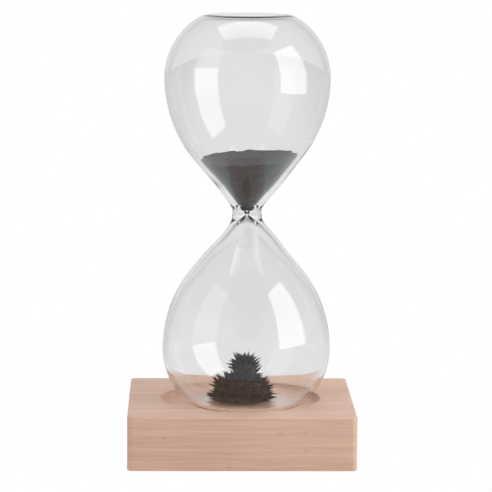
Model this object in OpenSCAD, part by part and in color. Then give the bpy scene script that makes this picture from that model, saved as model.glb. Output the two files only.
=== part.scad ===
// Magnetic hourglass: a sealed glass with iron powder, standing loose in a dish
// turned into a beech block that hides a disc magnet.
// Origin: centre of the block's underside. +Z up, millimetres.

/* [Base block] */
// Side of the square block
base_w = 80; // [76:0.5:90]
// Height of the block
base_h = 19; // [18.5:0.1:24]
// Radius of the block's upright edges
base_corner_r = 2; // [0.5:0.1:4]
// Diameter of the dish at its rim
dish_d = 57; // [56:0.1:62]
// Depth of the dish
dish_depth = 2.6; // [2.4:0.1:3]
// Radius where the dish's wall meets its floor
dish_fillet_r = 2.2; // [1:0.1:2.3]

/* [Magnet] */
// Diameter of the disc magnet
magnet_d = 25; // [15:1:30]
// Thickness of the disc magnet
magnet_t = 6; // [4:0.5:7]
// Wood left between the magnet and the dish
web_t = 3; // [2.5:0.1:4]
// Glue gap around the magnet
glue_gap = 0.1; // [0.05:0.01:0.2]
// Radius of the edges of the magnet
magnet_edge_r = 0.5; // [0.2:0.1:0.8]

/* [Glass] */
// Length of the glass below the waist
lower_len = 69; // [68:0.5:72]
// Length of the glass above the waist
upper_len = 71; // [70:0.5:72]
// Diameter of the lower bulb
lower_d = 60; // [59:0.1:61]
// Diameter of the upper bulb
upper_d = 59; // [58.5:0.1:60]
// Height of each bulb's widest ring from the waist
widest_at = 48.5; // [48:0.1:49]
// Radius of a bulb's side towards its end
dome_r = 25.2; // [24.5:0.1:26]
// Radius of the edge round each flat end
shoulder_r = 7; // [5:0.1:9]
// Radius of a bulb's side towards the waist
flank_r = 45.5; // [45:0.1:46.5]
// Diameter of the waist
waist_d = 10.4; // [9.8:0.1:11]
// Radius of the waist's hollow
waist_r = 6.5; // [6:0.1:7]
// Wall of the bulbs
glass_t = 1.8; // [1.5:0.1:2]
// Depth of the hollow in each flat end
end_dimple = 0.6; // [0.3:0.1:0.8]
// How far the glass stands off the dish's centre
glass_off = 2; // [0:0.1:3]

/* [Cavity] */
// Diameter of the hole through the waist
orifice_d = 1.6; // [1.4:0.1:2.4]
// Radius of the cavity's side towards the waist
cavity_flank_r = 43; // [42.8:0.1:43.2]
// Radius of the cavity's side at the waist
cavity_waist_r = 6; // [5:0.1:7]

/* [Powder] */
// Gap kept between the powder and the glass
powder_gap = 0.3; // [0.3:0.05:0.5]
// Height of the upper heap's surface above the waist
heap_h = 20.2; // [14:0.1:24]
// Lean of the upper heap's surface to the left
heap_lean = 2.7; // [0:0.1:5]
// Lean of the upper heap's surface to the front
heap_dip = 1.8; // [0:0.1:5]
// Radius of the pile's wide lower tier, without its spikes
pile_r = 10.4; // [8:0.1:11]
// Height of the lower tier
pile_h = 8; // [6:0.1:10]
// Radius of the pile's upper tier, without its spikes
crest_r = 4.8; // [4:0.1:6]
// Height of the crest above the pile's foot
crest_h = 16.4; // [12:0.1:18]
// How far the crest stands right of the pile's middle
crest_off = 2; // [0:0.1:3]
// Length of a spike
spike_len = 3; // [2:0.1:3.2]
// Radius of a spike at its root
spike_r = 1.3; // [1:0.1:1.5]
// Radius of a spike at its tip
spike_tip_r = 0.15; // [0.1:0.01:0.3]

/* [Hidden] */

$fn = 96;
cut = 1;
dish_floor = base_h - dish_depth;
magnet_top = dish_floor - web_t;
magnet_low = magnet_top - magnet_t;
pocket_r = magnet_d / 2 + glue_gap;
waist_z = dish_floor + lower_len;
powder_floor = glass_t + end_dimple + powder_gap;
dimple_reach = dome_r / 2;
pile_taper = 2;
// How deep the root of a spike sits in its tier
root = 1;

// Points along an arc about c, from angle a0 to angle a1
function arc(c, r, a0, a1, n) =
    [for (i = [0 : n]) let (a = a0 + (a1 - a0) * i / n) c + r * [cos(a), sin(a)]];

// Angle of the straight side that touches both the waist's arc and the flank's arc
function side_angle(c_waist, c_flank, r_sum) =
    let (v = c_flank - c_waist)
    atan2(v.y, v.x) + 90 - asin(r_sum / norm(v));

// Half outline of one bulb, from the waist at height 0 to the edge of its flat end
function bulb_outline(r_wide, len, r_dome, r_edge, r_flank, r_neck, r_waist) =
    let (
        c_waist = [r_waist + r_neck, 0],
        c_flank = [r_wide - r_flank, widest_at],
        c_dome = [r_wide - r_dome, widest_at],
        side = side_angle(c_waist, c_flank, r_neck + r_flank),
        turn = asin((len - r_edge - widest_at) / (r_dome - r_edge)),
        c_edge = c_dome + (r_dome - r_edge) * [cos(turn), sin(turn)]
    )
    concat(
        arc(c_waist, r_neck, 180, side, 5),
        arc(c_flank, r_flank, side - 180, 0, 9),
        arc(c_dome, r_dome, 6, turn, 7),
        arc(c_edge, r_edge, turn + 8, 90, 5)
    );

function upside_down(points) =
    [for (i = [len(points) - 1 : -1 : 0]) [points[i].x, -points[i].y]];

// Outline of the glass, skin = 0, or of its cavity, skin = glass_t
function glass_outline(skin, r_flank, r_neck, r_waist) =
    let (
        lower = bulb_outline(lower_d / 2 - skin, lower_len - skin, dome_r - skin,
            shoulder_r - skin, r_flank, r_neck, r_waist),
        upper = bulb_outline(upper_d / 2 - skin, upper_len - skin, dome_r - skin,
            shoulder_r - skin, r_flank, r_neck, r_waist)
    )
    concat(
        [[0, skin - lower_len]],
        upside_down([for (i = [1 : len(lower) - 1]) lower[i]]),
        upper,
        [[0, upper_len - skin]]
    );

// The half section between the two hollows pressed into the flat ends
module between_dimples(skin) {
    dimple_r = pow(dimple_reach, 2) / (2 * end_dimple);
    difference() {
        children();
        translate([0, upper_len + dimple_r - end_dimple]) circle(dimple_r + skin);
        translate([0, end_dimple - lower_len - dimple_r]) circle(dimple_r + skin);
    }
}

module glass_section() {
    between_dimples(0)
        polygon(glass_outline(0, flank_r, waist_r, waist_d / 2));
}

module cavity_section(gap) {
    between_dimples(glass_t + gap)
        polygon(glass_outline(glass_t + gap, cavity_flank_r, cavity_waist_r, orifice_d / 2 - gap));
}

module at_glass() {
    translate([glass_off, 0, waist_z]) children();
}

module right_half(reach) {
    intersection() {
        children();
        translate([0, -reach]) square([reach, 2 * reach]);
    }
}

module base_outline() {
    inner_w = base_w - 2 * base_corner_r;
    square([inner_w, base_w], center = true);
    square([base_w, inner_w], center = true);
    for (x = [-1, 1], y = [-1, 1])
        translate([x, y] * inner_w / 2) circle(base_corner_r);
}

module dish_cut() {
    r = dish_d / 2;
    translate([0, 0, dish_floor]) rotate_extrude() {
        square([r - dish_fillet_r, dish_depth + cut]);
        translate([0, dish_fillet_r]) square([r, dish_depth - dish_fillet_r + cut]);
        translate([r - dish_fillet_r, dish_fillet_r]) circle(dish_fillet_r);
    }
}

module base_block() {
    color("burlywood") difference() {
        linear_extrude(base_h) base_outline();
        dish_cut();
        translate([0, 0, -cut]) cylinder(r = pocket_r, h = magnet_top + cut);
    }
}

module disc_magnet() {
    r = magnet_d / 2 - magnet_edge_r;
    color("silver") translate([0, 0, magnet_low]) rotate_extrude() {
        square([r, magnet_t]);
        translate([0, magnet_edge_r]) square([magnet_d / 2, magnet_t - 2 * magnet_edge_r]);
        for (z = [magnet_edge_r, magnet_t - magnet_edge_r]) translate([r, z]) circle(magnet_edge_r);
    }
}

module magnet_plug() {
    color("peru") cylinder(r = pocket_r, h = magnet_low);
}

module glass_vessel() {
    color("lightcyan", 0.4) at_glass() rotate_extrude() right_half(base_w) difference() {
        glass_section();
        cavity_section(0);
    }
}

// The heap left in the upper bulb: it fills the funnel up to a surface that leans
module upper_powder() {
    color("dimgray") at_glass() intersection() {
        rotate_extrude() right_half(base_w) cavity_section(powder_gap);
        translate([0, 0, heap_h]) rotate([heap_dip, -heap_lean, 0])
            translate([0, 0, -heap_h]) cylinder(r = upper_d / 2, h = heap_h);
    }
}

module spike(lean) {
    rotate([0, lean, 0])
        cylinder(r1 = spike_r, r2 = spike_tip_r, h = spike_len + spike_r, $fn = 16);
}

// Rows of spikes round a tier, from its side, where they lie out, to its top, where they stand.
// r, z and lean are the first row's and the last row's, and the first row has count spikes.
module spike_rows(rows, count, r, z, lean) {
    for (row = [0 : rows - 1]) {
        t = row / (rows - 1);
        row_r = r[0] + (r[1] - r[0]) * t;
        row_z = z[0] + (z[1] - z[0]) * t;
        row_lean = lean[0] + (lean[1] - lean[0]) * t;
        row_count = round(count * row_r / r[0]);
        for (i = [0 : row_count - 1])
            rotate([0, 0, i * 360 / row_count]) translate([row_r, 0, row_z]) spike(row_lean);
    }
}

// The pile that the magnet draws up in the lower bulb: two tiers of standing spikes
module lower_powder() {
    color("black") translate([0, 0, dish_floor + powder_floor]) {
        cylinder(r1 = pile_r, r2 = pile_r - pile_taper, h = pile_h);
        spike_rows(3, 15, [pile_r - root, pile_r / 2], [2 * root, pile_h - root], [82, 30]);
        translate([crest_off, 0, 0]) {
            core_h = crest_h - spike_len;
            cylinder(r = crest_r, h = core_h);
            spike_rows(2, 7, [crest_r - root, crest_r / 2], [core_h - 2 * root, core_h - root], [55, 18]);
        }
    }
}

base_block();
disc_magnet();
magnet_plug();
glass_vessel();
upper_powder();
lower_powder();
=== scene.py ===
"""Magnetic hourglass: a sealed glass of iron powder that stands loose in a dish turned into a
beech block, over a hidden disc magnet. Lengths are in metres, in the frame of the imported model."""

import math
import random
from collections import namedtuple

import bpy
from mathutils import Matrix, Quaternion, Vector, noise


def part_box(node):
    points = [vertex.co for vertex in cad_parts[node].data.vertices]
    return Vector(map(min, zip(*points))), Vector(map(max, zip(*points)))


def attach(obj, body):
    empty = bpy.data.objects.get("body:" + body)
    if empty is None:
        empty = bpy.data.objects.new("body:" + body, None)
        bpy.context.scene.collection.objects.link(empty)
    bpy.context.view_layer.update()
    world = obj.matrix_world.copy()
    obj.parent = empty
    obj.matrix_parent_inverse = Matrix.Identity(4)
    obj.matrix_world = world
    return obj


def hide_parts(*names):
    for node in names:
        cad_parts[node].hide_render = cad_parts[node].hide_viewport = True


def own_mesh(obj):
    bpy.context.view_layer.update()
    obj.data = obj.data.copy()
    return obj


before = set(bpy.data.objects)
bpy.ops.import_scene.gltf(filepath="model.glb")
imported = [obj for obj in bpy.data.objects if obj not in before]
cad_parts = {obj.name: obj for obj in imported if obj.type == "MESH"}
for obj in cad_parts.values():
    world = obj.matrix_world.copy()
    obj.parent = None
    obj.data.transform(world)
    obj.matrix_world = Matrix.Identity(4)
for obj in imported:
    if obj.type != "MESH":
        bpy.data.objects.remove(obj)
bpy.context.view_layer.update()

MM = 0.001
SEED = 7

# ---------------------------------------------------------------------------------------------
# Places and sizes, from the frame
# ---------------------------------------------------------------------------------------------
BLOCK_LOW, BLOCK_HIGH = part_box("base_block")
GLASS_LOW, GLASS_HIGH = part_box("glass_vessel")
PILE_LOW, PILE_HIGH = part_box("lower_powder")
HEAP_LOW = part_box("upper_powder")[0]
MAGNET_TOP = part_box("disc_magnet")[1].z
PLUG_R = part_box("magnet_plug")[1].x

BLOCK_TOP = BLOCK_HIGH.z
BLOCK_HALF = (BLOCK_HIGH.x - BLOCK_LOW.x) / 2
DISH_FLOOR = GLASS_LOW.z
GLASS_X = (GLASS_LOW.x + GLASS_HIGH.x) / 2
LOWER_R = (GLASS_HIGH.x - GLASS_LOW.x) / 2
UPPER_R = LOWER_R - 0.5 * MM
LOWER_LEN = 69 * MM
UPPER_LEN = GLASS_HIGH.z - GLASS_LOW.z - LOWER_LEN
WAIST_Z = GLASS_LOW.z + LOWER_LEN


# ---------------------------------------------------------------------------------------------
# Rings, arcs and meshes
# ---------------------------------------------------------------------------------------------
def new_mesh(name, verts, faces, smooth=True):
    """A piece made from points and faces, shaded smooth or faceted."""
    mesh = bpy.data.meshes.new(name)
    mesh.from_pydata(verts, [], faces)
    mesh.update()
    mesh.polygons.foreach_set("use_smooth", [smooth] * len(mesh.polygons))
    piece = bpy.data.objects.new(name, mesh)
    bpy.context.scene.collection.objects.link(piece)
    return piece


def bridge(faces, ring_a, ring_b):
    """Quads between two closed rings of vertex numbers; a ring of one number is a point."""
    count = max(len(ring_a), len(ring_b))
    for i in range(count):
        j = (i + 1) % count
        if len(ring_a) == 1:
            faces.append((ring_a[0], ring_b[j], ring_b[i]))
        elif len(ring_b) == 1:
            faces.append((ring_a[i], ring_a[j], ring_b[0]))
        else:
            faces.append((ring_a[i], ring_a[j], ring_b[j], ring_b[i]))


def add_rings(verts, faces, rings):
    """Appends rings of points, each joined to the one before."""
    last = None
    for ring in rings:
        numbers = list(range(len(verts), len(verts) + len(ring)))
        verts.extend(ring)
        if last is not None:
            bridge(faces, last, numbers)
        last = numbers


def circle_ring(r, z, count, centre=(0.0, 0.0)):
    """A level circle of points, or a single point where it has no radius."""
    if r <= 0:
        return [(centre[0], centre[1], z)]
    turn = [2 * math.pi * i / count for i in range(count)]
    return [(centre[0] + r * math.cos(a), centre[1] + r * math.sin(a), z) for a in turn]


def arc(c, r, a0, a1, count):
    """Points along an arc about c, with the angles in degrees."""
    turn = [math.radians(a0 + (a1 - a0) * i / count) for i in range(count + 1)]
    return [(c[0] + r * math.cos(a), c[1] + r * math.sin(a)) for a in turn]


def smoothstep(x, low, high):
    """From nought at one value to one at another, with no corner at either."""
    t = min(1.0, max(0.0, (x - low) / (high - low)))
    return t * t * (3 - 2 * t)


# ---------------------------------------------------------------------------------------------
# Blown glass
# ---------------------------------------------------------------------------------------------
WIDEST_AT = 48.5 * MM
DOME_R = 25.2 * MM
SHOULDER_R = 7 * MM
FLANK_R = 45.5 * MM
WAIST_HOLLOW_R = 6.5 * MM
WAIST_R = 5.2 * MM
END_DIMPLE = 0.35 * MM
DIMPLE_STEPS = 16

# The wall, which is thinnest where the glass was drawn out towards the waist
NECK_WALL = 1.3 * MM
BULB_WALL = 1.45 * MM
NECK_END = 18 * MM
BULB_START = 46 * MM

# The straight-sided funnels on both sides of the waist, whose slopes are radius over height
ORIFICE_R = 0.4 * MM
LOWER_SLOPE = 0.95
UPPER_SLOPE = 0.9
FUNNEL_START = 6 * MM
FUNNEL_LEN = 42 * MM
FUNNEL_BLEND = 36

# Swellings of the wall, as height, place above the waist, and width
STRAY_BELOW = (0.55 * MM, -8 * MM, 4 * MM)
STRAY_ABOVE = (0.4 * MM, 11 * MM, 5 * MM)
CREASE = (-0.3 * MM, 1.8 * MM, 0.45 * MM)

# How close the rings lie, which is closer within the zone by the waist
GLASS_SEGMENTS = 168
WAIST_ZONE = 5 * MM
OUTSIDE_STEP = 0.9 * MM
OUTSIDE_FINE_STEP = 0.16 * MM
FUNNEL_STEP = 0.6 * MM
FUNNEL_FINE_STEP = 0.2 * MM


def bulb_outline(r_wide, length):
    """Outside of one bulb as (radius, distance from the waist), from the waist to its flat end."""
    c_waist = (WAIST_R + WAIST_HOLLOW_R, 0.0)
    c_flank = (r_wide - FLANK_R, WIDEST_AT)
    c_dome = (r_wide - DOME_R, WIDEST_AT)
    dx, dz = c_flank[0] - c_waist[0], c_flank[1] - c_waist[1]
    lean = math.asin((WAIST_HOLLOW_R + FLANK_R) / math.hypot(dx, dz))
    side = math.degrees(math.atan2(dz, dx) - lean) + 90
    turn = math.asin((length - SHOULDER_R - WIDEST_AT) / (DOME_R - SHOULDER_R))
    reach = DOME_R - SHOULDER_R
    c_edge = (c_dome[0] + reach * math.cos(turn), c_dome[1] + reach * math.sin(turn))
    turn = math.degrees(turn)
    points = arc(c_waist, WAIST_HOLLOW_R, 180, side, count=12)
    points += arc(c_flank, FLANK_R, side - 180, 0, count=36)
    points += arc(c_dome, DOME_R, 2, turn, count=26)
    points += arc(c_edge, SHOULDER_R, turn + 6, 90, count=12)
    flat_r = c_edge[0]
    for step in range(1, DIMPLE_STEPS + 1):
        r = flat_r * (1 - step / DIMPLE_STEPS)
        points.append((r, length - END_DIMPLE * (0.5 + 0.5 * math.cos(math.pi * r / flat_r))))
    return points


def spaced_evenly(points):
    """The same line with points at an even spacing, and closer ones near the waist."""
    even = [points[0]]
    place = 0.0
    for a, b in zip(points, points[1:]):
        span = math.hypot(b[0] - a[0], b[1] - a[1])
        while place < span:
            t = place / span
            spot = (a[0] + (b[0] - a[0]) * t, a[1] + (b[1] - a[1]) * t)
            even.append(spot)
            place += OUTSIDE_FINE_STEP if spot[1] < WAIST_ZONE else OUTSIDE_STEP
        place -= span
    even.append(points[-1])
    return even[1:]


def radius_at(outline, d):
    """Radius of an outline at a distance from the waist."""
    for a, b in zip(outline, outline[1:]):
        if a[1] <= d <= b[1]:
            t = (d - a[1]) / max(b[1] - a[1], 1e-9)
            return a[0] + (b[0] - a[0]) * t
    return 0.0


def wall_at(d):
    """Thickness of the glass at a distance from the waist."""
    return NECK_WALL + (BULB_WALL - NECK_WALL) * smoothstep(d, NECK_END, BULB_START)


def smaller_of(a, b):
    """The smaller of two radii, rounded over where they are nearly equal."""
    return a * b / (a ** FUNNEL_BLEND + b ** FUNNEL_BLEND) ** (1 / FUNNEL_BLEND)


def cavity_outline(outline, slope):
    """Inside of one bulb: a straight-sided funnel at the waist that runs into the thin bulb."""
    inner = []
    for (r0, d0), (r, d), (r1, d1) in zip(outline, outline[1:], outline[2:]):
        run = math.hypot(r1 - r0, d1 - d0)
        normal = ((d1 - d0) / run, -(r1 - r0) / run)
        inner.append((r - wall_at(d) * normal[0], d - wall_at(d) * normal[1]))
    inner.append((0.0, outline[-1][1] - wall_at(outline[-1][1])))
    bulb = [p for p in inner if p[1] > FUNNEL_LEN]
    funnel = []
    d = 0.0
    while d < FUNNEL_LEN:
        cone = math.hypot(ORIFICE_R, slope * d)
        thin = radius_at(inner, d) if d > FUNNEL_START else 2 * cone
        funnel.append((smaller_of(cone, thin), d))
        d += FUNNEL_FINE_STEP if d < WAIST_ZONE else FUNNEL_STEP
    return funnel + bulb


def swelling(z, height, place, width):
    """A rounded swelling of the glass, or with a height below nought a groove."""
    return height * math.exp(-(((z - WAIST_Z - place) / width) ** 2))


def axis_wander(z):
    """How far the blown glass strays from a true turning, in x."""
    return swelling(z, *STRAY_BELOW) + swelling(z, *STRAY_ABOVE)


def both_bulbs(lower, upper):
    """(radius, height) up the whole glass, from the outlines of its two bulbs."""
    below = [(r, WAIST_Z - d) for r, d in reversed(lower)]
    above = [(r, WAIST_Z + d) for r, d in upper]
    return below + above[1:]


def glass_ring(r, z):
    """One ring of the glass, about its wandering axis."""
    return circle_ring(r, z, GLASS_SEGMENTS, (GLASS_X + axis_wander(z), 0.0))


LOWER_OUTSIDE = spaced_evenly(bulb_outline(LOWER_R, LOWER_LEN))
UPPER_OUTSIDE = spaced_evenly(bulb_outline(UPPER_R, UPPER_LEN))
LOWER_CAVITY = cavity_outline(LOWER_OUTSIDE, LOWER_SLOPE)
UPPER_CAVITY = cavity_outline(UPPER_OUTSIDE, UPPER_SLOPE)


def blow_glass():
    """The glass, with its cavity, and the crease left where the bulbs were drawn apart."""
    verts, faces = [], []
    outside = both_bulbs(LOWER_OUTSIDE, UPPER_OUTSIDE)
    cavity = both_bulbs(LOWER_CAVITY, UPPER_CAVITY)
    add_rings(verts, faces, [glass_ring(r + swelling(z, *CREASE), z) for r, z in outside])
    skin = len(faces)
    add_rings(verts, faces, [glass_ring(r, z) for r, z in cavity])
    faces = faces[:skin] + [tuple(reversed(f)) for f in faces[skin:]]
    return new_mesh("blown_glass", verts, faces)


# ---------------------------------------------------------------------------------------------
# Iron powder left in the funnel
# ---------------------------------------------------------------------------------------------
POWDER_GAP = 0.12 * MM
HEAP_HEIGHT = 20 * MM
HEAP_TIP = WAIST_Z + 0.2 * MM
HEAP_SEGMENTS = 220
HEAP_SIDE_RINGS = 60
HEAP_TOP_RINGS = 46
EDGE_GUESS = 16 * MM
EDGE_TRIES = 6

# Slope of the heap's surface towards +X and towards +Y, and the shallow hollow in its middle
HEAP_SLOPE = (0.047, 0.03)
HEAP_HOLLOW = 0.5 * MM
HEAP_HOLLOW_R = 18 * MM

# Lumps of three sizes, as height, width, and the layer of noise that each is cut from
HEAP_LUMPS = ((0.4 * MM, 3.4 * MM, 0.0), (0.3 * MM, 1.1 * MM, 5.0), (0.16 * MM, 0.5 * MM, 9.0))


def heap_surface(x, y):
    """Height of the heap's surface in the funnel: it leans to the left and a little forward."""
    base = HEAP_LOW.z + HEAP_HEIGHT
    lean = HEAP_SLOPE[0] * x + HEAP_SLOPE[1] * y
    r = math.hypot(x, y) / HEAP_HOLLOW_R
    bowl = -HEAP_HOLLOW * (1 - r * r)
    lumps = sum(height * noise.noise(Vector((x, y, layer)) / width)
                for height, width, layer in HEAP_LUMPS)
    return base + lean + bowl + lumps


def funnel_radius(z):
    """Reach of the powder in the upper funnel at a height."""
    return radius_at(UPPER_CAVITY, z - WAIST_Z) - POWDER_GAP


def heap_edge(angle):
    """Where the surface meets the funnel in one direction, as (radius, height)."""
    r = EDGE_GUESS
    for _ in range(EDGE_TRIES):
        z = heap_surface(r * math.cos(angle), r * math.sin(angle))
        r = funnel_radius(z)
    return r, z


def pour_heap():
    """The heap: a cone that fills the funnel, under a lumpy surface."""
    turn = [2 * math.pi * i / HEAP_SEGMENTS for i in range(HEAP_SEGMENTS)]
    edge = [heap_edge(a) for a in turn]
    rings = [[(0.0, 0.0, HEAP_TIP - 0.1 * MM)]]
    for k in range(HEAP_SIDE_RINGS):
        t = k / HEAP_SIDE_RINGS
        ring = []
        for a, (_, z) in zip(turn, edge):
            h = HEAP_TIP + (z - HEAP_TIP) * t
            wall = funnel_radius(h)
            ring.append((wall * math.cos(a), wall * math.sin(a), h))
        rings.append(ring)
    for k in range(HEAP_TOP_RINGS):
        t = 1 - k / HEAP_TOP_RINGS
        ring = []
        for a, (r, z) in zip(turn, edge):
            x, y = r * t * math.cos(a), r * t * math.sin(a)
            ring.append((x, y, heap_surface(x, y) if k else z))
        rings.append(ring)
    rings.append([(0.0, 0.0, heap_surface(0.0, 0.0))])
    verts, faces = [], []
    add_rings(verts, faces, rings)
    verts = [(x + GLASS_X + axis_wander(z), y, z) for x, y, z in verts]
    return new_mesh("funnel_heap", verts, faces)


# ---------------------------------------------------------------------------------------------
# Iron powder drawn up by the magnet
# ---------------------------------------------------------------------------------------------
PILE_FOOT = GLASS_LOW.z + END_DIMPLE + BULB_WALL + POWDER_GAP
PILE_MARGIN = 0.05 * MM

# A tier of the pile: the x of its middle, its foot, its radius below and above, its height, and
# how many spikes and finer needles stand out of it
Tier = namedtuple("Tier", "middle foot r_low r_high height spikes needles")
LOW_TIER = Tier(0.3 * MM, PILE_FOOT, 9.8 * MM, 7.4 * MM, 6.6 * MM, 250, 260)
HIGH_TIER = Tier(1.4 * MM, PILE_FOOT + 5.5 * MM, 4.7 * MM, 2.8 * MM, 8.6 * MM, 110, 110)
TIER_ROUNDING = 1.5
TIER_SEGMENTS = 48
TIER_RINGS = 8

# The least and most of each length and thickness
SPIKE_LENGTH = (3.2 * MM, 5.2 * MM)
SPIKE_THICKNESS = (0.5 * MM, 0.8 * MM)
NEEDLE_LENGTH = (2.4 * MM, 3.8 * MM)
NEEDLE_THICKNESS = (0.2 * MM, 0.34 * MM)
NEEDLE_SIDES = 5
ROOT_DEPTH = 1.2 * MM
STRAY = 0.2
BEND = 0.12

# Rings of a needle, as shares of its length and of its thickness
NEEDLE_RINGS = ((0.0, 1.0), (0.55, 0.62))

# Share of the needles that stand on a tier's top, and how steeply they rise there and on its side
SHARE_ON_TOP = 0.3
RISE_AT_EDGE = 0.9
RISE_TO_MIDDLE = 2.2
RISE_AT_FOOT = -0.1
RISE_UP_SIDE = 1.0
RISE_ROUNDING = 1.3


def needle(verts, faces, root, aim, length, thick, rng):
    """One needle of powder: a thin bent cone."""
    side = aim.orthogonal().normalized()
    other = aim.cross(side)
    bend = (side * rng.uniform(-1, 1) + other * rng.uniform(-1, 1)) * BEND * length
    first = len(verts)
    for t, r in NEEDLE_RINGS:
        centre = root + aim * (length * t) + bend * (t * t)
        for i in range(NEEDLE_SIDES):
            a = 2 * math.pi * i / NEEDLE_SIDES
            verts.append(tuple(centre + (side * math.cos(a) + other * math.sin(a)) * thick * r))
    verts.append(tuple(root + aim * length + bend))
    middle, tip = first + NEEDLE_SIDES, first + 2 * NEEDLE_SIDES
    for i in range(NEEDLE_SIDES):
        j = (i + 1) % NEEDLE_SIDES
        faces.append((first + i, first + j, middle + j, middle + i))
        faces.append((middle + i, middle + j, tip))
    faces.append(tuple(first + i for i in reversed(range(NEEDLE_SIDES))))


def tier_radius(tier, t):
    """Radius of a tier at a share of its height."""
    return tier.r_low + (tier.r_high - tier.r_low) * t ** TIER_ROUNDING


def tier_point(rng, tier):
    """A point on one tier of the pile, with the way its needles stand."""
    a = rng.uniform(0, 2 * math.pi)
    t = rng.random()
    if rng.random() < SHARE_ON_TOP:
        r = tier.r_high * math.sqrt(rng.random())
        t = 1.0
        rise = RISE_AT_EDGE + RISE_TO_MIDDLE * (1 - r / tier.r_high)
    else:
        r = tier_radius(tier, t)
        rise = RISE_AT_FOOT + RISE_UP_SIDE * t ** RISE_ROUNDING
    spot = Vector((tier.middle + r * math.cos(a), r * math.sin(a), tier.foot + tier.height * t))
    out = Vector((math.cos(a), math.sin(a), 0.0))
    return spot, (out + Vector((0, 0, rise))).normalized()


def tier_core(tier):
    """Rings of the solid powder inside a tier."""
    middle = (tier.middle, 0.0)
    rings = [circle_ring(0, tier.foot, TIER_SEGMENTS, middle)]
    for k in range(TIER_RINGS + 1):
        t = k / TIER_RINGS
        rings.append(circle_ring(tier_radius(tier, t), tier.foot + tier.height * t, TIER_SEGMENTS,
                                 middle))
    rings.append(circle_ring(0, tier.foot + tier.height, TIER_SEGMENTS, middle))
    return rings


def build_pile():
    """The pile: two tiers that bristle with spikes and needles, kept inside the CAD pile's box."""
    rng = random.Random(SEED)
    verts, faces = [], []
    for tier in (LOW_TIER, HIGH_TIER):
        add_rings(verts, faces, tier_core(tier))
        for count, lengths, thicknesses in ((tier.spikes, SPIKE_LENGTH, SPIKE_THICKNESS),
                                            (tier.needles, NEEDLE_LENGTH, NEEDLE_THICKNESS)):
            for _ in range(count):
                spot, aim = tier_point(rng, tier)
                stray = Vector((rng.gauss(0, 1), rng.gauss(0, 1), rng.gauss(0, 1))) * STRAY
                length, thick = rng.uniform(*lengths), rng.uniform(*thicknesses)
                needle(verts, faces, spot - aim * ROOT_DEPTH, (aim + stray).normalized(), length,
                       thick, rng)
    reach_x, reach_y = PILE_HIGH.x - PILE_MARGIN, PILE_HIGH.y - PILE_MARGIN
    peak = PILE_HIGH.z - PILE_MARGIN
    verts = [(min(max(x, -reach_x), reach_x), min(max(y, -reach_y), reach_y),
              min(max(z, PILE_FOOT), peak)) for x, y, z in verts]
    return new_mesh("magnet_pile", verts, faces, smooth=False)


# ---------------------------------------------------------------------------------------------
# Beech block
# ---------------------------------------------------------------------------------------------
CORNER_R = 2 * MM
EDGE_R = 0.5 * MM
DISH_R = 28.5 * MM
DISH_FILLET_R = 2.2 * MM
DISH_RIM_R = 0.4 * MM
DISH_FLOOR_RINGS = (5 * MM, 11 * MM, 17 * MM, 22 * MM)
BORE_CHAMFER = 0.3 * MM
SIDE_POINTS = 24
CORNER_POINTS = 10
EDGE_STEPS = 6
SHADING_ANGLE = 40


def square_ring(inset, z):
    """The block's outline, inset by a distance, as one ring of points."""
    half, r = BLOCK_HALF - inset, CORNER_R - inset
    straight = half - r
    ring = []
    for k, (sx, sy) in enumerate(((1, 1), (-1, 1), (-1, -1), (1, -1))):
        centre = (sx * straight, sy * straight)
        for x, y in arc(centre, r, 90 * k, 90 * k + 90, CORNER_POINTS):
            ring.append((x, y, z))
        start = ring[-1]
        step_x, step_y = ((-1, 0), (0, -1), (1, 0), (0, 1))[k]
        for i in range(1, SIDE_POINTS):
            t = 2 * straight * i / SIDE_POINTS
            ring.append((start[0] + step_x * t, start[1] + step_y * t, z))
    return ring


def polar_ring(r, z, like):
    """A circle whose points lie in the same directions as those of another ring."""
    ring = []
    for x, y, _ in like:
        reach = math.hypot(x, y)
        ring.append((r * x / reach, r * y / reach, z))
    return ring


def shade_by_angle(piece, degrees):
    """Smooth shading, other than across edges sharper than an angle."""
    bpy.context.view_layer.objects.active = piece
    piece.select_set(True)
    bpy.ops.object.shade_smooth_by_angle(angle=math.radians(degrees))
    piece.select_set(False)


def carve_block():
    """The block in one skin: dish, top, sides, underside, and the pocket bored up into it."""
    like = square_ring(0, 0)
    quarter = [math.pi / 2 * i / EDGE_STEPS for i in range(EDGE_STEPS + 1)]
    dish = [(r, DISH_FLOOR) for r in DISH_FLOOR_RINGS]
    dish += arc((DISH_R - DISH_FILLET_R, DISH_FLOOR + DISH_FILLET_R), DISH_FILLET_R, -90, 0,
                count=10)
    dish += arc((DISH_R + DISH_RIM_R, BLOCK_TOP - DISH_RIM_R), DISH_RIM_R, 180, 90, count=5)
    rings = [[(0.0, 0.0, DISH_FLOOR)]]
    rings += [polar_ring(r, z, like) for r, z in dish]
    rings += [square_ring(EDGE_R * (1 - math.sin(a)), BLOCK_TOP - EDGE_R * (1 - math.cos(a)))
              for a in quarter]
    rings += [square_ring(EDGE_R * (1 - math.cos(a)), EDGE_R * (1 - math.sin(a))) for a in quarter]
    rings += [polar_ring(PLUG_R + BORE_CHAMFER, 0.0, like), polar_ring(PLUG_R, BORE_CHAMFER, like)]
    rings += [polar_ring(PLUG_R, MAGNET_TOP, like), [(0.0, 0.0, MAGNET_TOP)]]
    verts, faces = [], []
    add_rings(verts, faces, rings)
    faces = [tuple(reversed(f)) for f in faces]
    return new_mesh("beech_block", verts, faces)


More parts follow.
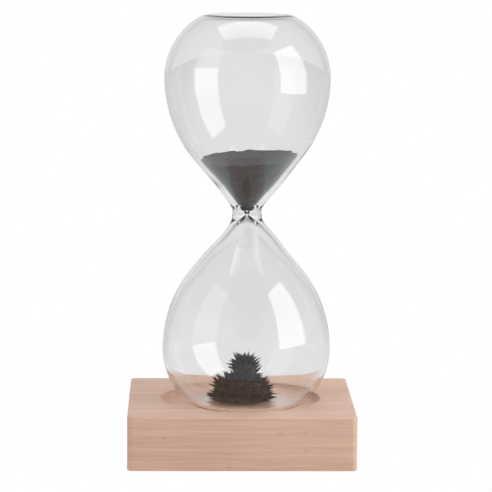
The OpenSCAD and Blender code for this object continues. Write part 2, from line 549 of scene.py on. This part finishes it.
# ---------------------------------------------------------------------------------------------
# Shader helpers
# ---------------------------------------------------------------------------------------------
def new_group(name, inputs, outputs):
    """A shader group with named number and vector inputs, and named number outputs."""
    group = bpy.data.node_groups.new(name, "ShaderNodeTree")
    for label, start in inputs.items():
        kind = "NodeSocketVector" if start is None else "NodeSocketFloat"
        socket = group.interface.new_socket(label, in_out="INPUT", socket_type=kind)
        if start is not None:
            socket.default_value = start
    for label in outputs:
        group.interface.new_socket(label, in_out="OUTPUT", socket_type="NodeSocketFloat")
    return group, group.nodes.new("NodeGroupInput"), group.nodes.new("NodeGroupOutput")


def use_group(tree, group, **values):
    """Places a group in a material, with a number or a socket for each of its inputs."""
    node = tree.nodes.new("ShaderNodeGroup")
    node.node_tree = group
    for label, value in values.items():
        if isinstance(value, bpy.types.NodeSocket):
            tree.links.new(value, node.inputs[label])
        else:
            node.inputs[label].default_value = value
    return node


def place_of(tree):
    """Where a point lies on the object at rest."""
    return tree.nodes.new("ShaderNodeTexCoord").outputs["Object"]


def axes_of(tree, place):
    """X, Y and Z of a place, as sockets."""
    split = tree.nodes.new("ShaderNodeSeparateXYZ")
    tree.links.new(place, split.inputs[0])
    return split.outputs["X"], split.outputs["Y"], split.outputs["Z"]


def stretched(tree, source, stretch):
    """Coordinates divided by a size along each axis, so that a pattern keeps that size."""
    node = tree.nodes.new("ShaderNodeVectorMath")
    node.operation = "DIVIDE"
    tree.links.new(source, node.inputs[0])
    if isinstance(stretch, tuple):
        node.inputs[1].default_value = stretch
    else:
        tree.links.new(stretch, node.inputs[1])
    return node.outputs[0]


def noise_at(tree, source, detail, rough=0.5):
    """Noise from nought to one, with lumps about one unit wide."""
    node = tree.nodes.new("ShaderNodeTexNoise")
    node.inputs["Scale"].default_value = 1.0
    node.inputs["Detail"].default_value = detail
    node.inputs["Roughness"].default_value = rough
    tree.links.new(source, node.inputs["Vector"])
    return node.outputs["Fac"]


def ramp(tree, source, span, out_span=(0.0, 1.0)):
    """A soft step from one value to another while the source crosses a span."""
    node = tree.nodes.new("ShaderNodeMapRange")
    node.interpolation_type = "SMOOTHSTEP"
    node.inputs["From Min"].default_value, node.inputs["From Max"].default_value = span
    node.inputs["To Min"].default_value, node.inputs["To Max"].default_value = out_span
    tree.links.new(source, node.inputs["Value"])
    return node.outputs["Result"]


def combine(tree, operation, a, b):
    """A sum, product or the like, of two sockets or of a socket and a number."""
    node = tree.nodes.new("ShaderNodeMath")
    node.operation = operation
    for k, source in enumerate((a, b)):
        if isinstance(source, (int, float)):
            node.inputs[k].default_value = source
        else:
            tree.links.new(source, node.inputs[k])
    return node.outputs[0]


def weigh(tree, a, share_a, b, share_b):
    """Two sockets added in given shares."""
    return combine(tree, "ADD", combine(tree, "MULTIPLY", a, share_a),
                   combine(tree, "MULTIPLY", b, share_b))


def blend_colours(tree, mask, low, high):
    """From one colour to another by a mask; either may be a socket."""
    node = tree.nodes.new("ShaderNodeMix")
    node.data_type = "RGBA"
    tree.links.new(mask, node.inputs["Factor"])
    for socket, colour in ((node.inputs[6], low), (node.inputs[7], high)):
        if isinstance(colour, tuple):
            socket.default_value = (*colour, 1)
        else:
            tree.links.new(colour, socket)
    return node.outputs[2]


def raise_surface(tree, shader, height, strength, distance):
    """Relief on a surface, as high as the distance where the height is one."""
    bump = tree.nodes.new("ShaderNodeBump")
    bump.inputs["Strength"].default_value = strength
    bump.inputs["Distance"].default_value = distance
    tree.links.new(height, bump.inputs["Height"])
    tree.links.new(bump.outputs["Normal"], shader.inputs["Normal"])


def new_material(name):
    """A material with its node tree and its shader."""
    made = bpy.data.materials.new(name)
    made.use_nodes = True
    tree = made.node_tree
    return made, tree, tree.nodes["Principled BSDF"]


def clear_where(tree, mask, shader, tint=(1, 1, 1)):
    """Lets light straight through where a mask is one, and shows the shader elsewhere."""
    clear = tree.nodes.new("ShaderNodeBsdfTransparent")
    clear.inputs["Color"].default_value = (*tint, 1)
    pick = tree.nodes.new("ShaderNodeMixShader")
    tree.links.new(mask, pick.inputs[0])
    tree.links.new(shader.outputs[0], pick.inputs[1])
    tree.links.new(clear.outputs[0], pick.inputs[2])
    tree.links.new(pick.outputs[0], tree.nodes["Material Output"].inputs["Surface"])


def new_glow(name):
    """A material that gives light from its front, and can't be seen from behind."""
    made, tree, shader = new_material(name)
    tree.nodes.remove(shader)
    glow = tree.nodes.new("ShaderNodeEmission")
    sides = tree.nodes.new("ShaderNodeNewGeometry")
    clear_where(tree, sides.outputs["Backfacing"], glow)
    return made, tree, glow


# ---------------------------------------------------------------------------------------------
# Wood and powder effects
# ---------------------------------------------------------------------------------------------
# Size of each figure in the wood along X, the way of the grain, and along Y and Z
GROWTH_BAND = (0.09, 0.004, 0.0016)
FIBRE_SIZE = (0.014, 0.0005, 0.0003)
THREAD_SIZE = (0.03, 0.0012, 0.0007)
DRIFT_SIZE = (0.045, 0.03, 0.03)
FLECK_SIZE = (0.0045, 0.0014, 0.0010)
FIBRE_CONTRAST = 1.15
# Size of the blotches in the painted highlight along the upper arrises
HIGHLIGHT_PATCH = (0.006, 0.006, 0.006)


def wood_group():
    """Beech: fibres and growth bands along X, with short dark ray flecks."""
    group, given, made = new_group("beech_figure", {"Place": None, "Fibre": 1.0, "Fleck": 1.0},
                                   ("Tone", "Flecks", "Relief"))
    place = given.outputs["Place"]
    bands = noise_at(group, stretched(group, place, GROWTH_BAND), detail=2.0)
    fibres = noise_at(group, stretched(group, place, FIBRE_SIZE), detail=3.0, rough=0.6)
    threads = noise_at(group, stretched(group, place, THREAD_SIZE), detail=2.0, rough=0.6)
    drift = noise_at(group, stretched(group, place, DRIFT_SIZE), detail=1.0)
    cells = group.nodes.new("ShaderNodeTexVoronoi")
    cells.inputs["Scale"].default_value = 1.0
    cells.inputs["Randomness"].default_value = 1.0
    group.links.new(stretched(group, place, FLECK_SIZE), cells.inputs["Vector"])
    chance = group.nodes.new("ShaderNodeSeparateColor")
    group.links.new(cells.outputs["Color"], chance.inputs[0])
    body = ramp(group, cells.outputs["Distance"], (0.34, 0.12))
    picked = ramp(group, chance.outputs[0], (0.8, 0.95))
    flecks = combine(group, "MULTIPLY", combine(group, "MULTIPLY", body, picked),
                     given.outputs["Fleck"])
    fine = combine(group, "SUBTRACT", weigh(group, fibres, 0.45, threads, 0.55), 0.5)
    fine = combine(group, "MULTIPLY", fine, given.outputs["Fibre"])
    fine = combine(group, "MULTIPLY", fine, FIBRE_CONTRAST)
    wide = weigh(group, bands, 0.5, drift, 0.5)
    group.links.new(combine(group, "ADD", wide, fine), made.inputs["Tone"])
    group.links.new(flecks, made.inputs["Flecks"])
    group.links.new(combine(group, "SUBTRACT", fibres, flecks), made.inputs["Relief"])
    return group


def arris_highlight_group():
    """Painted highlight: paler wood in blotches along the upper arrises of a square block."""
    group, given, made = new_group("arris_painted_highlight", {"Place": None, "Half": 0.04, "Top": 0.019,
                                                  "Reach": 0.0012}, ("PaintedHighlight",))
    x, y, z = axes_of(group, given.outputs["Place"])
    far = combine(group, "MAXIMUM", combine(group, "ABSOLUTE", x, 0.0),
                  combine(group, "ABSOLUTE", y, 0.0))
    side = combine(group, "SUBTRACT", given.outputs["Half"], far)
    top = combine(group, "SUBTRACT", given.outputs["Top"], z)
    both = combine(group, "MAXIMUM", side, top)
    near = combine(group, "DIVIDE", both, given.outputs["Reach"])
    patchy = noise_at(group, stretched(group, given.outputs["Place"], HIGHLIGHT_PATCH), detail=2.0)
    edge_highlight = combine(group, "MULTIPLY", ramp(group, near, (1.0, 0.0)), ramp(group, patchy, (0.3, 0.7)))
    group.links.new(edge_highlight, made.inputs["PaintedHighlight"])
    return group


def grit_group():
    """Grains of powder: clumps, grains, and a mask for the painted glints on the odd grain."""
    group, given, made = new_group("powder_grit", {"Place": None, "Grain": 0.0002, "Clump": 0.0016},
                                   ("Shade", "Glint", "Relief"))
    place = given.outputs["Place"]
    clumps = noise_at(group, stretched(group, place, given.outputs["Clump"]), detail=3.0, rough=0.6)
    grains = noise_at(group, stretched(group, place, given.outputs["Grain"]), detail=2.0, rough=0.7)
    group.links.new(weigh(group, clumps, 0.5, grains, 0.5), made.inputs["Shade"])
    group.links.new(ramp(group, grains, (0.62, 0.72)), made.inputs["Glint"])
    group.links.new(combine(group, "ADD", clumps, grains), made.inputs["Relief"])
    return group


# ---------------------------------------------------------------------------------------------
# Finishes
# ---------------------------------------------------------------------------------------------
GLASS_TINT = (0.985, 0.99, 0.988)
GLASS_SHADOW = (0.96, 0.97, 0.97)
GLASS_IOR = 1.47
GLASS_WAVES = (0.03, 0.03, 0.009)

BEECH_DARK = (0.665, 0.405, 0.293)
BEECH_PALE = (0.825, 0.54, 0.41)
BEECH_FLECK = (0.36, 0.17, 0.10)
# Colour of the painted highlight along the upper arrises, and how far from the edge it reaches
BEECH_HIGHLIGHT = (0.84, 0.63, 0.52)
HIGHLIGHT_REACH = 1.2 * MM
FIGURE_SPAN = (0.2, 0.8)

END_GRAIN_DARK = (0.40, 0.22, 0.13)
END_GRAIN_PALE = (0.66, 0.43, 0.3)
HEART_OFFSET = (0.06, 0.03, 0.0)
GROWTH_RING = (0.009, 0.009, 0.009)
PORE_SIZE = (0.0003, 0.0003, 0.0012)

NICKEL_DARK = (0.58, 0.56, 0.52)
NICKEL_PALE = (0.72, 0.7, 0.66)
SCUFF_SIZE = (0.0002, 0.0002, 0.006)
TARNISH_SIZE = (0.004, 0.004, 0.004)

# Look of a powder: its dark and pale grains, the colour of its painted glints, the size of a grain
# and of a clump, and its roughness
Powder = namedtuple("Powder", "dark pale facet grain clump rough")
LOOSE_POWDER = Powder((0.03, 0.034, 0.038), (0.07, 0.077, 0.085), (0.24, 0.25, 0.27),
                      0.28 * MM, 2 * MM, 0.75)
# The pile's iron powder, painted far darker than the loose powder as painted shade among its needles
SHADED_NEEDLE_POWDER = Powder((0.005, 0.004, 0.0045), (0.018, 0.017, 0.019), (0.12, 0.12, 0.14),
                       0.2 * MM, 1.4 * MM, 0.6)


def clear_glass():
    """Blown glass with the faint waviness of a piece drawn by hand, and a light shadow."""
    made, tree, shader = new_material("clear_glass")
    shader.inputs["Base Color"].default_value = (*GLASS_TINT, 1)
    shader.inputs["Transmission Weight"].default_value = 1.0
    shader.inputs["Roughness"].default_value = 0.0
    shader.inputs["IOR"].default_value = GLASS_IOR
    waves = noise_at(tree, stretched(tree, place_of(tree), GLASS_WAVES), detail=1.0)
    raise_surface(tree, shader, waves, strength=0.05, distance=0.6 * MM)
    path = tree.nodes.new("ShaderNodeLightPath")
    clear_where(tree, path.outputs["Is Shadow Ray"], shader, GLASS_SHADOW)
    return made


def beech_finish():
    """Fine sanded beech with no varnish, and a painted highlight along its upper arrises."""
    made, tree, shader = new_material("sanded_beech")
    place = place_of(tree)
    figure = use_group(tree, wood_group(), Place=place, Fibre=1.0, Fleck=1.0)
    edge_highlight = use_group(tree, arris_highlight_group(), Place=place, Half=BLOCK_HALF, Top=BLOCK_TOP,
                     Reach=HIGHLIGHT_REACH)
    colour = blend_colours(tree, ramp(tree, figure.outputs["Tone"], FIGURE_SPAN), BEECH_DARK,
                           BEECH_PALE)
    colour = blend_colours(tree, combine(tree, "MULTIPLY", figure.outputs["Flecks"], 0.4), colour,
                           BEECH_FLECK)
    # Painted highlight: paler wood blended in along the upper arrises
    colour = blend_colours(tree, combine(tree, "MULTIPLY", edge_highlight.outputs["PaintedHighlight"], 0.3), colour,
                           BEECH_HIGHLIGHT)
    tree.links.new(colour, shader.inputs["Base Color"])
    tree.links.new(ramp(tree, figure.outputs["Tone"], FIGURE_SPAN, (0.5, 0.4)),
                   shader.inputs["Roughness"])
    raise_surface(tree, shader, figure.outputs["Relief"], strength=0.35, distance=0.08 * MM)
    return made


def plug_finish():
    """End grain of the plug: growth rings across it, and open pores."""
    made, tree, shader = new_material("plug_end_grain")
    place = place_of(tree)
    moved = tree.nodes.new("ShaderNodeVectorMath")
    moved.inputs[1].default_value = HEART_OFFSET
    tree.links.new(place, moved.inputs[0])
    rings = tree.nodes.new("ShaderNodeTexWave")
    rings.wave_type = "RINGS"
    rings.rings_direction = "Z"
    rings.inputs["Scale"].default_value = 1.0
    rings.inputs["Distortion"].default_value = 1.2
    tree.links.new(stretched(tree, moved.outputs[0], GROWTH_RING), rings.inputs["Vector"])
    pores = noise_at(tree, stretched(tree, place, PORE_SIZE), detail=2.0, rough=0.7)
    figure = weigh(tree, rings.outputs["Fac"], 0.4, pores, 0.6)
    tree.links.new(blend_colours(tree, figure, END_GRAIN_DARK, END_GRAIN_PALE),
                   shader.inputs["Base Color"])
    shader.inputs["Roughness"].default_value = 0.62
    raise_surface(tree, shader, pores, strength=0.4, distance=0.1 * MM)
    return made


def nickel_finish():
    """Nickel plate, scuffed where it was pushed into its pocket."""
    made, tree, shader = new_material("nickel_plate")
    place = place_of(tree)
    scuffs = noise_at(tree, stretched(tree, place, SCUFF_SIZE), detail=3.0, rough=0.6)
    tarnish = noise_at(tree, stretched(tree, place, TARNISH_SIZE), detail=2.0)
    tree.links.new(blend_colours(tree, tarnish, NICKEL_DARK, NICKEL_PALE),
                   shader.inputs["Base Color"])
    tree.links.new(ramp(tree, scuffs, (0.35, 0.7), (0.16, 0.34)), shader.inputs["Roughness"])
    shader.inputs["Metallic"].default_value = 1.0
    raise_surface(tree, shader, scuffs, strength=0.15, distance=0.05 * MM)
    return made


def powder_finish(name, grit, powder):
    """Black iron powder: matt grains, with a painted glint where a few grains are painted pale and
    made smoother.
    """
    made, tree, shader = new_material(name)
    node = use_group(tree, grit, Place=place_of(tree), Grain=powder.grain, Clump=powder.clump)
    colour = blend_colours(tree, ramp(tree, node.outputs["Shade"], (0.3, 0.7)), powder.dark,
                           powder.pale)
    # Painted glint: the odd grain painted pale
    colour = blend_colours(tree, combine(tree, "MULTIPLY", node.outputs["Glint"], 0.5), colour,
                           powder.facet)
    tree.links.new(colour, shader.inputs["Base Color"])
    tree.links.new(ramp(tree, node.outputs["Glint"], (0.0, 1.0), (powder.rough, powder.rough - 0.3)),
                   shader.inputs["Roughness"])
    shader.inputs["Specular IOR Level"].default_value = 0.3
    raise_surface(tree, shader, node.outputs["Relief"], strength=0.6, distance=0.15 * MM)
    return made


# ---------------------------------------------------------------------------------------------
# Camera, light and floor
# ---------------------------------------------------------------------------------------------
CAMERA_AZIMUTH = -1.189
CAMERA_ELEVATION = 7.346
CAMERA_ROLL = 0.3
CAMERA_DISTANCE = 1.0737
CAMERA_AIM = Vector((1.74 * MM, 0, 73.785 * MM))
CAMERA_LENS = 219.85

# Brightness of the room in front of the object, beside it and behind it; the shares of that which
# are left far to the left and high up; and the spans of direction over which each sets in
ROOM_FRONT = 0.48
ROOM_SIDE = 0.55
ROOM_BACK = 0.82
ROOM_LEFT = 0.9
ROOM_HIGH = 0.72
FRONT_SPAN = (-0.8, -0.3)
BACK_SPAN = (0.76, 0.98)
LEFT_SPAN = (-0.95, -0.7)
HIGH_SPAN = (0.2, 0.7)

# Brightness of the table under the object and towards three of its edges, and where each sets in
TABLE_GLOW = 0.8
TABLE_RIGHT = 0.68
TABLE_LEFT = 0.68
TABLE_FRONT = 0.62
TABLE_RIGHT_SPAN = (0.05, 0.3)
TABLE_LEFT_SPAN = (-0.16, -0.03)
TABLE_FRONT_SPAN = (-0.25, 0.1)
TABLE_HALF = 3.0
TABLE_DROP = 0.05 * MM

SOFTBOX_DISTANCE = 0.454
SOFTBOX_AIM = Vector((0, 0, 0.308))
SOFTBOX_THROUGH_GLASS = 0.7
LAMP_PLACE = (0, 0.03, 0.75)
LAMP_SIZE = (0.60, 0.40)
LAMP_RADIANCE = 1.6


def direction(azimuth, elevation):
    """Which way something lies: azimuth from the front towards +X, elevation from level."""
    a, e = math.radians(azimuth), math.radians(elevation)
    return Vector((math.sin(a) * math.cos(e), -math.cos(a) * math.cos(e), math.sin(e)))


def place_camera():
    """A long lens a little above the object, in front of it."""
    data = bpy.data.cameras.new("camera")
    data.sensor_width = 36
    data.lens = CAMERA_LENS
    data.clip_end = 50
    camera = bpy.data.objects.new("camera", data)
    bpy.context.scene.collection.objects.link(camera)
    back = direction(CAMERA_AZIMUTH, CAMERA_ELEVATION)
    camera.location = CAMERA_AIM + back * CAMERA_DISTANCE
    camera.rotation_mode = "QUATERNION"
    roll = Quaternion((0, 0, 1), math.radians(CAMERA_ROLL))
    camera.rotation_quaternion = (-back).to_track_quat("-Z", "Y") @ roll
    bpy.context.scene.camera = camera


def white_for_camera(tree, seen_by_light):
    """A strength of one where the camera looks, and the given one for all other rays."""
    path = tree.nodes.new("ShaderNodeLightPath")
    pick = tree.nodes.new("ShaderNodeMix")
    pick.data_type = "FLOAT"
    pick.inputs["B"].default_value = 1.0
    tree.links.new(path.outputs["Is Camera Ray"], pick.inputs["Factor"])
    tree.links.new(seen_by_light, pick.inputs["A"])
    return pick.outputs["Result"]


def light_room():
    """A pale room, brightest behind the object. The camera itself sees plain white."""
    world = bpy.data.worlds.new("studio")
    bpy.context.scene.world = world
    world.use_nodes = True
    tree = world.node_tree
    tree.nodes.clear()
    out = tree.nodes.new("ShaderNodeOutputWorld")
    shader = tree.nodes.new("ShaderNodeBackground")
    shader.inputs["Color"].default_value = (1, 1, 1, 1)
    x, y, z = axes_of(tree, tree.nodes.new("ShaderNodeTexCoord").outputs["Generated"])
    behind = ramp(tree, y, BACK_SPAN, (ROOM_SIDE, ROOM_BACK))
    before = ramp(tree, y, FRONT_SPAN, (ROOM_FRONT, 0.0))
    depth = combine(tree, "MAXIMUM", behind, before)
    left = ramp(tree, x, LEFT_SPAN, (ROOM_LEFT, 1.0))
    high = ramp(tree, z, HIGH_SPAN, (1.0, ROOM_HIGH))
    glow = combine(tree, "MULTIPLY", combine(tree, "MULTIPLY", depth, left), high)
    tree.links.new(white_for_camera(tree, glow), shader.inputs["Strength"])
    tree.links.new(shader.outputs[0], out.inputs["Surface"])


def hang_softbox(name, azimuth, size, radiance):
    """A glowing panel. Straight through glass it is only as bright as the room behind it, so that
    it doesn't blot the glass out; by reflection, and on what it lights, it has its full strength."""
    half_w, half_h = size[0] / 2, size[1] / 2
    verts = [(-half_w, -half_h, 0), (-half_w, half_h, 0), (half_w, half_h, 0), (half_w, -half_h, 0)]
    panel = new_mesh(name, verts, [(0, 1, 2, 3)], smooth=False)
    back = direction(azimuth, 0)
    panel.location = SOFTBOX_AIM + back * SOFTBOX_DISTANCE
    panel.rotation_mode = "QUATERNION"
    panel.rotation_quaternion = (-back).to_track_quat("-Z", "Y")
    panel.visible_camera = False
    made, tree, glow = new_glow(name)
    path = tree.nodes.new("ShaderNodeLightPath")
    bounces = combine(tree, "SUBTRACT", path.outputs["Ray Depth"],
                      path.outputs["Transmission Depth"])
    tree.links.new(ramp(tree, bounces, (0.0, 1.0), (SOFTBOX_THROUGH_GLASS, radiance)),
                   glow.inputs["Strength"])
    panel.data.materials.append(made)


def hang_lamp():
    """A soft lamp that shines straight down on the object."""
    data = bpy.data.lights.new("overhead_lamp", "AREA")
    data.shape = "RECTANGLE"
    data.size, data.size_y = LAMP_SIZE
    data.energy = LAMP_RADIANCE * math.pi * LAMP_SIZE[0] * LAMP_SIZE[1]
    lamp = bpy.data.objects.new("overhead_lamp", data)
    bpy.context.scene.collection.objects.link(lamp)
    lamp.location = LAMP_PLACE
    lamp.visible_camera = False


def lay_floor():
    """A table that glows under the object. The camera itself sees plain white."""
    verts = [(-TABLE_HALF, -TABLE_HALF, 0), (TABLE_HALF, -TABLE_HALF, 0),
             (TABLE_HALF, TABLE_HALF, 0), (-TABLE_HALF, TABLE_HALF, 0)]
    floor = new_mesh("floor", verts, [(0, 1, 2, 3)])
    floor.location.z = -TABLE_DROP
    made, tree, glow = new_glow("white_table")
    x, y, _ = axes_of(tree, place_of(tree))
    right = ramp(tree, x, TABLE_RIGHT_SPAN, (TABLE_GLOW, TABLE_RIGHT))
    left = ramp(tree, x, TABLE_LEFT_SPAN, (TABLE_LEFT, TABLE_GLOW))
    near = ramp(tree, y, TABLE_FRONT_SPAN, (TABLE_FRONT, TABLE_GLOW))
    lit = combine(tree, "MINIMUM", combine(tree, "MINIMUM", right, left), near)
    tree.links.new(white_for_camera(tree, lit), glow.inputs["Strength"])
    floor.data.materials.append(made)


# ---------------------------------------------------------------------------------------------
# Assembly
# ---------------------------------------------------------------------------------------------
def finish_piece(piece, material, body, node):
    """Gives a piece its finish and its body, and puts it in the place of a CAD node."""
    piece.data.materials.append(material)
    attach(piece, body)
    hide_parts(node)
    return piece


def finish_node(node, material):
    """Gives a CAD node that keeps its own shape its finish."""
    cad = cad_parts[node]
    cad.data.materials.clear()
    cad.data.materials.append(material)


place_camera()
light_room()
hang_softbox("right_softbox", azimuth=66, size=(0.35, 0.54), radiance=3.3)
hang_softbox("left_softbox", azimuth=-62, size=(0.32, 0.56), radiance=1.1)
hang_lamp()
lay_floor()

grit = grit_group()
loose_powder = powder_finish("iron_powder", grit, LOOSE_POWDER)
# The pile's powder is a darker copy of the same powder: painted shade
shaded_needle_powder = powder_finish("iron_needles_painted_shade", grit, SHADED_NEEDLE_POWDER)

finish_piece(blow_glass(), clear_glass(), "hourglass", "glass_vessel")
finish_piece(pour_heap(), loose_powder, "hourglass", "upper_powder")
pile = finish_piece(build_pile(), shaded_needle_powder, "pile", "lower_powder")
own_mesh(pile)
block = finish_piece(carve_block(), beech_finish(), "stand", "base_block")
shade_by_angle(block, SHADING_ANGLE)
finish_node("disc_magnet", nickel_finish())
finish_node("magnet_plug", plug_finish())

bpy.context.scene.view_settings.view_transform = "Standard"
